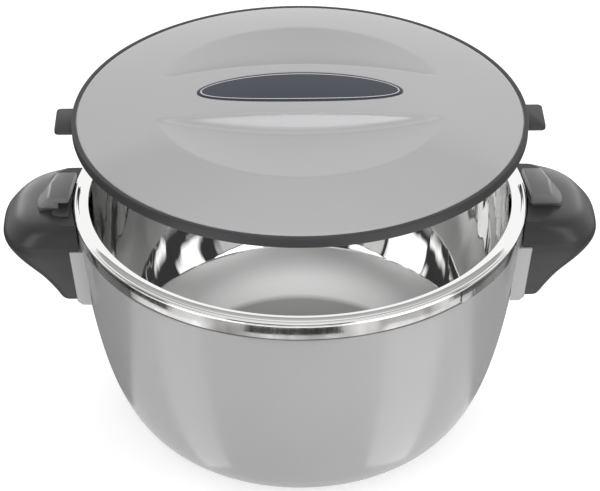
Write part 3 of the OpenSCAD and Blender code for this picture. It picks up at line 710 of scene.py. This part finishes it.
def coverForm(c):
    # on the upper side z is first a mark for the kind of row, and the height comes after
    pocket, pocketWall, skin = -5, -4, -3
    b, edge, top, gap = c["pocketB"], c["edgeR"], c["dishR"], c["pocketEdge"]
    n = c["pocketSteps"]
    rows = [(0, pocket)] + [(b * i / n, pocket) for i in range(1, n + 1)]
    rows += [(b + 0.001, pocketWall), (b + gap / 2, skin)]
    n = c["dishSteps"]
    rows += [(b + gap + (top - b - gap) * i / n, skin) for i in range(n + 1)]
    n = c["domeSteps"]
    rows += [(top + (edge - 0.5 - top) * i / n, skin) for i in range(1, n + 1)]
    rows += [(edge - 0.15, c["edgeZ"] - 0.12), (edge, c["edgeZ"] - 0.5), (edge, c["skirtZ"]),
             (edge - c["wall"], c["skirtZ"]), (edge - c["wall"], c["edgeZ"] - 2),
             (c["underR"], c["edgeZ"] + c["underH"]), (0, c["edgeZ"] + c["underH"])]
    bm = turned(rows, c["steps"], closed=False)
    drops = {pocket: c["pocketDeep"], pocketWall: c["pocketStep"], skin: 0}
    for v in bm.verts:
        mark = round(v.co.z)
        if mark not in drops:
            continue
        u = v.co.xy.length
        if 1e-4 < u < top:                         # rows go from the oval pocket to the round dip
            share = max(0, (u - b) / (top - b))
            wide = c["pocketA"] * min(u / b, 1) + (top - c["pocketA"]) * share
            v.co.x *= wide / u
        v.co.z = c["edgeZ"] + coverH(c, v.co.x, v.co.y) - drops[mark]
    return bm


cover = coverForm(coverSizes)
finished("lidCoverMoulding", cover, [coverPlastic], "lid", ["lid_cover"], 50)

emblemSizes = dict(halfA=53.0, halfB=14.75, proud=0.25, thick=1.2, lineFrom=1.75, lineTo=2.35, soft=0.3,
                   margin=4, innerSteps=10, steps=240)


def emblemForm(e, c):
    # a round plate, made between two marks, then drawn out to the oval and laid on the dome
    upperZ, lowerZ = -2, -0.8
    b = e["halfB"]
    inner = b - e["margin"]
    us = [inner * i / e["innerSteps"] for i in range(e["innerSteps"] + 1)]
    us += [b - e["lineTo"] - 0.8, b - e["lineTo"], b - e["lineFrom"], b - 1.0, b - e["soft"]]
    rows = [(u, upperZ) for u in us] + [(b - 0.08, -1.9), (b, -1.7), (b, lowerZ), (0, lowerZ)]
    bm = turned(rows, e["steps"], closed=False)
    # the rounded rim and the sides take the dark edge finish, a painted shadow of the gap round the plate
    lacquer, silver, edge = 0, 1, 2
    for face in bm.faces:
        mid = face.calc_center_median()
        u = mid.xy.length
        if mid.z > upperZ + 0.05 or u >= b - e["soft"]:
            face.material_index = edge
        elif b - e["lineTo"] < u < b - e["lineFrom"]:
            face.material_index = silver
        else:
            face.material_index = lacquer
    for v in bm.verts:
        u = v.co.xy.length
        if u > 1e-4:
            wide = u + (e["halfA"] - b) if u > inner else u * (e["halfA"] - e["margin"]) / inner
            v.co.x *= wide / u
        over = -e["thick"] if v.co.z > (upperZ + lowerZ) / 2 else upperZ - v.co.z
        v.co.z = c["edgeZ"] + domeH(c, hypot(v.co.x, v.co.y)) + e["proud"] + over
    return bm


emblem = emblemForm(emblemSizes, coverSizes)
emblemFinishes = [emblemGloss, emblemSilver, emblemGapShadow]
finished("emblemPlate", emblem, emblemFinishes, "lid", ["emblem_plate"], 60)

ringSizes = dict(z=178.5, plugR=107.9, plugWall=2.4, outR=118, inR=115.7, height=5.5, ledge=2.2, keep=1.1,
                 low=-4.8, soft=0.5, keepSoft=0.3, inSoft=0.25, steps=256,
                 tabX=116.85, tabOut=126.6, tabHalf=11.7, tabT=2.3, tabLow=0.2, tabCorner=2.5,
                 tabSoft=0.35)


def tabForm(s):
    size = (s["tabOut"] - s["tabX"], 2 * s["tabHalf"], s["tabT"])
    centre = ((s["tabOut"] + s["tabX"]) / 2, 0, s["z"] + s["tabLow"] + s["tabT"] / 2)

    def outerCorner(e):
        a, c = [v.co for v in e.verts]
        return abs(a.z - c.z) > 1 and a.x > centre[0]

    tab = softBlock(size, centre, s["tabCorner"], 6, outerCorner)
    rim = [e for e in tab.edges if e.calc_face_angle(0) > radians(60) and e.verts[0].co.x > centre[0]]
    rounded(tab, rim, s["tabSoft"], 2)
    return tab


def ringForm(s):
    z, plugIn, keepR = s["z"], s["plugR"] - s["plugWall"], s["plugR"] + s["keep"]
    lowZ, topZ, ledgeZ = z + s["low"], z + s["height"], z + s["ledge"]
    keepZ = lowZ + s["keep"]
    rows = [(plugIn, lowZ), (keepR, lowZ, s["keepSoft"]), (keepR, keepZ), (s["plugR"], keepZ),
            (s["plugR"], z), (s["outR"], z, s["soft"]), (s["outR"], topZ, s["soft"]),
            (s["inR"], topZ, s["inSoft"]), (s["inR"], ledgeZ), (plugIn, ledgeZ)]
    bm = turned(softCorners(rows), s["steps"])
    addIsland(bm, tabForm(s))
    addIsland(bm, mirroredX(tabForm(s)))
    return bm


finished("lidRing", ringForm(ringSizes), [darkPlastic], "lid", ["lid_base"])

linerSizes = dict(z=178.5, outR=105.2, slope=16, drop=12, low=-4.8, rim=3, thick=0.6, flatStep=6,
                  panSoft=3, rimSoft=1.2, inSoft=1, steps=192)


def linerForm(s):
    turn, outR, t = s["outR"] - s["slope"], s["outR"], s["thick"]
    panZ, lowZ = s["z"] - s["drop"], s["z"] + s["low"]
    rows = [(0, panZ), (turn - s["flatStep"], panZ), (turn, panZ, s["panSoft"])]
    rows += [(outR, lowZ, s["rimSoft"]), (outR, lowZ + s["rim"]), (outR - t, lowZ + s["rim"])]
    rows += [(outR - t, lowZ + t, s["inSoft"]), (turn - t / 2, panZ + t, s["panSoft"]), (0, panZ + t)]
    return turned(softCorners(rows, 6), s["steps"], closed=False)


finished("linerPan", linerForm(linerSizes), [linerSteel], "lid", ["lid_liner"])


# nodes that keep their solid and get a finish

nodeFinish = dict(base_plate=shellPlastic, foot_ring=footRubber, foam_plug=darkPlastic,
                  pot_insulation=creamFoam, rim_seal=sealRubber, handle_screws=screwSteel,
                  catch_screws=screwSteel, lid_gasket=sealRubber, lid_insulation=creamFoam)
for node, material in nodeFinish.items():
    part = frame["nodes"][node]
    if part.material_slots:
        for place in part.material_slots:
            place.material = material
    else:
        part.data.materials.append(material)
print("nodes finished:", len(nodeFinish))

# the bowl mirrors an open studio, so shiny rays pass the lid by
lidPieces = [thing for thing in bpy.context.scene.objects
             if thing.type == "MESH" and {"lid", "lid_carrier"} & set(body_of(thing) or ())]
for thing in lidPieces:
    thing.visible_glossy = False
gripNames = ("sideHandle.left", "sideHandle.right", "tabCatch.left", "tabCatch.right")
gripPieces = [bpy.data.objects[name] for name in gripNames]


# studio: pale floor, soft lamps, cards that only shiny surfaces see, camera

studio = dict(floorSize=8.0, floorTone=0.80, floorShade=0.99, floorGlow=0.55, ambient=0.60)


def studioFloor(s):
    bm = bmesh.new()
    bmesh.ops.create_grid(bm, x_segments=2, y_segments=2, size=s["floorSize"])
    mesh = bpy.data.meshes.new("studioFloor")
    bm.to_mesh(mesh)
    bm.free()
    floor = bpy.data.objects.new("studioFloor", mesh)
    bpy.context.scene.collection.objects.link(floor)
    finish = Finish("studioFloorPaper", 0.9)
    tone = s["floorTone"]
    shade = tone * s["floorShade"]
    finish.colour(finish.mixed(finish.ranged(finish.noise(3, 3), 0, 1), (tone,) * 3, (shade,) * 3))
    glow = finish.add("Emission")                  # only where the floor is seen, so it lights nothing
    glow.inputs["Strength"].default_value = s["floorGlow"]
    both = finish.add("AddShader")
    path = finish.add("LightPath")
    seen = finish.math("MAXIMUM", path.outputs["Is Camera Ray"], path.outputs["Is Glossy Ray"])
    seen = finish.math("MAXIMUM", seen, path.outputs["Is Transmission Ray"])
    pick = finish.add("MixShader")
    finish.link(seen, pick.inputs[0])
    finish.link(finish.shader.outputs[0], pick.inputs[1])
    finish.link(both.outputs[0], pick.inputs[2])
    finish.link(finish.shader.outputs[0], both.inputs[0])
    finish.link(glow.outputs[0], both.inputs[1])
    finish.link(pick.outputs[0], finish.tree.nodes["Material Output"].inputs["Surface"])
    mesh.materials.append(finish.material)


def studioWorld(s):
    # white where it is seen or mirrored, softer where it lights
    world = bpy.data.worlds.new("studioWorld")
    bpy.context.scene.world = world
    world.use_nodes = True
    tree = world.node_tree
    white = tree.nodes["Background"]
    white.inputs["Color"].default_value = (1, 1, 1, 1)
    white.inputs["Strength"].default_value = 1.0
    soft = tree.nodes.new("ShaderNodeBackground")
    soft.inputs["Color"].default_value = (1, 1, 1, 1)
    soft.inputs["Strength"].default_value = s["ambient"]
    path = tree.nodes.new("ShaderNodeLightPath")
    seen = path.outputs["Is Camera Ray"]
    for name in ("Is Glossy Ray", "Is Transmission Ray"):
        either = tree.nodes.new("ShaderNodeMath")
        either.operation = "MAXIMUM"
        tree.links.new(seen, either.inputs[0])
        tree.links.new(path.outputs[name], either.inputs[1])
        seen = either.outputs[0]
    pick = tree.nodes.new("ShaderNodeMixShader")
    tree.links.new(seen, pick.inputs[0])
    tree.links.new(soft.outputs[0], pick.inputs[1])
    tree.links.new(white.outputs[0], pick.inputs[2])
    tree.links.new(pick.outputs[0], tree.nodes["World Output"].inputs["Surface"])


def softLamp(name, place, aim, size, watts, onlyFor=(), shiny=False):
    lamp = bpy.data.lights.new(name, "AREA")
    lamp.shape = "RECTANGLE"
    lamp.size, lamp.size_y = size
    lamp.energy = watts
    thing = bpy.data.objects.new(name, lamp)
    thing.location = place
    thing.rotation_euler = (Vector(aim) - Vector(place)).to_track_quat("-Z", "Y").to_euler()
    thing.visible_glossy = shiny
    bpy.context.scene.collection.objects.link(thing)
    if onlyFor:                                    # the lamp lights these pieces and no others
        lit = bpy.data.collections.new(name + "Lit")
        for piece in onlyFor:
            lit.objects.link(piece)
        thing.light_linking.receiver_collection = lit


def glossyOnly(name, bm, finish, strength):
    # flags and reflector sheets: only shiny surfaces see them
    mesh = bpy.data.meshes.new(name)
    bm.to_mesh(mesh)
    bm.free()
    card = bpy.data.objects.new(name, mesh)
    bpy.context.scene.collection.objects.link(card)
    glow = finish.add("Emission")
    if isinstance(strength, (int, float)):
        glow.inputs["Strength"].default_value = strength
    else:
        finish.link(strength, glow.inputs["Strength"])
    finish.link(glow.outputs[0], finish.tree.nodes["Material Output"].inputs["Surface"])
    mesh.materials.append(finish.material)
    card.visible_camera = card.visible_diffuse = card.visible_shadow = card.visible_transmission = False


def floorSheet(name, corners, strength):
    lift = 0.0006                                  # just over the floor
    bm = bmesh.new()
    bm.faces.new([bm.verts.new((x, y, lift)) for x, y in corners])
    glossyOnly(name, bm, Finish(name + "Paper", 0.9), strength)


def sector(fromDeg, toDeg, inR, outR, steps=12):
    # plan of a piece of ring; angles count from the front, to the right
    angles = [radians(fromDeg + (toDeg - fromDeg) * i / steps) for i in range(steps + 1)]
    near = [(inR * sin(a), -inR * cos(a)) for a in angles]
    return near + [(outR * sin(a), -outR * cos(a)) for a in angles[::-1]]


# roof: height as a share of the radius, brightness; windows: from and to in degrees from the front,
# lower and upper edge as shares of the radius, brightness
tentSizes = dict(radius=6.0, backDeg=112, backRise=42, softDeg=2, softShare=0.02,
                 roof=[(0.0, 0.06), (0.30, 0.05), (0.62, 0.06), (0.66, 0.38), (0.70, 0.40), (0.77, 0.46),
                       (0.83, 0.58), (0.90, 0.68), (0.93, 0.80), (0.955, 0.98)],
                 windows=[(-66, -35, 0.25, 0.52, 1.7), (24, 76, 0.25, 0.585, 1.85),
                          (-9, 10, 0.56, 0.62, 1.6), (-82, -40, 0.53, 0.565, 0.45),
                          (84, 108, 0.03, 0.60, 0.9), (-112, -88, 0.03, 0.55, 0.8)])


def studioTent(t):
    # dark walls with bright windows under a bright roof; open at the back, to the white backdrop
    bm = bmesh.new()
    bmesh.ops.create_uvsphere(bm, u_segments=72, v_segments=36, radius=t["radius"])
    gone = []
    for face in bm.faces:
        mid = face.calc_center_median()
        rise = degrees(asin(min(1, mid.z / mid.length)))
        if rise < 0 or abs(degrees(atan2(mid.x, -mid.y))) > t["backDeg"] and rise < t["backRise"]:
            gone.append(face)
    bmesh.ops.delete(bm, geom=gone, context="FACES")
    finish = Finish("studioTentCloth", 0.9)
    x, y, z = finish.split()
    height = finish.math("DIVIDE", z, t["radius"])
    ramp = finish.add("ValToRGB")
    finish.link(height, ramp.inputs[0])
    while len(ramp.color_ramp.elements) < len(t["roof"]):
        ramp.color_ramp.elements.new(0.5)
    for stop, (place, tone) in zip(ramp.color_ramp.elements, t["roof"]):
        stop.position = place
        stop.color = (tone, tone, tone, 1)
    glow = ramp.outputs[0]
    azimuth = finish.times(finish.math("ARCTAN2", x, finish.times(y, -1)), degrees(1))
    side, edge = t["softDeg"], t["softShare"]
    for fromDeg, toDeg, low, top, bright in t["windows"]:
        shape = finish.ranged(azimuth, 0, 1, fromDeg - side, fromDeg + side)
        shape = finish.times(shape, finish.ranged(azimuth, 1, 0, toDeg - side, toDeg + side))
        shape = finish.times(shape, finish.ranged(height, 1, 0, top - edge, top + edge))
        shape = finish.times(shape, finish.ranged(height, 0, 1, low - edge, low + edge))
        glow = finish.math("MAXIMUM", glow, finish.times(shape, bright))
    glossyOnly("studioTent", bm, finish, glow)


studioFloor(studio)
studioWorld(studio)
lidAim, leftGrip, rightGrip = (0, 0, 0.19), (-0.14, 0, 0.11), (0.14, 0, 0.11)
softLamp("topSoftbox", (0.2, 0.5, 1.5), (0, 0, 0.12), (1.4, 1.2), 7)
softLamp("frontFill", (0.2, -1.9, 0.75), (0, 0, 0.08), (1.6, 0.9), 15)
softLamp("lidStrip", (0.1, -2.0, 1.00), lidAim, (3.2, 0.42), 15, lidPieces, True)
softLamp("lidBack", (0.3, 1.9, 0.80), lidAim, (1.4, 0.8), 8, lidPieces)
softLamp("gripBackLeft", (-1.0, 1.9, 0.6), leftGrip, (1.0, 0.6), 9, gripPieces, True)
softLamp("gripBackRight", (1.0, 1.9, 0.6), rightGrip, (1.0, 0.6), 6, gripPieces, True)
softLamp("gripLeft", (-1.6, -1.1, 0.45), leftGrip, (0.5, 0.5), 4, gripPieces, True)
softLamp("gripRight", (1.6, -1.1, 0.45), rightGrip, (0.5, 0.5), 4, gripPieces, True)
studioTent(tentSizes)
# bright sheets for the shell's two gleams, dark flags for its darker edges
floorSheet("leftSheet", [(-0.045, -0.092), (-0.192, -0.199), (-0.230, -0.100), (-0.055, -0.076)], 1.75)
floorSheet("rightSheet", [(0.062, -0.075), (0.220, -0.115), (0.165, -0.232), (0.040, -0.095)], 2.0)
floorSheet("frontFlag", sector(-23, 16, 0.265, 0.50), 0.12)
floorSheet("leftFlag", sector(-150, -57, 0.285, 0.80, 24), 0.12)
floorSheet("rightFlag", sector(66, 150, 0.285, 0.80, 24), 0.25)
floorSheet("backLeftFlag", sector(-179, -78, 0.105, 0.283, 24), 0.30)
floorSheet("backRightFlag", sector(78, 179, 0.105, 0.283, 24), 0.40)

scene = bpy.context.scene
scene.view_settings.view_transform = "Standard"
scene.cycles.glossy_bounces = 10                   # the bowl mirrors itself several times
cameraView = dict(place=(-0.0185, -1.0391, 0.7957), downDeg=33.75, turnDeg=-1.02, lens=139.6, sensor=36)
lens = bpy.data.cameras.new("photoCamera")
lens.sensor_width = cameraView["sensor"]
lens.lens = cameraView["lens"]
lens.clip_start = 0.05
lens.clip_end = 30
camera = bpy.data.objects.new("photoCamera", lens)
camera.location = cameraView["place"]
camera.rotation_euler = (radians(90 - cameraView["downDeg"]), 0, radians(cameraView["turnDeg"]))
scene.collection.objects.link(camera)
scene.camera = camera
print("studio ready")
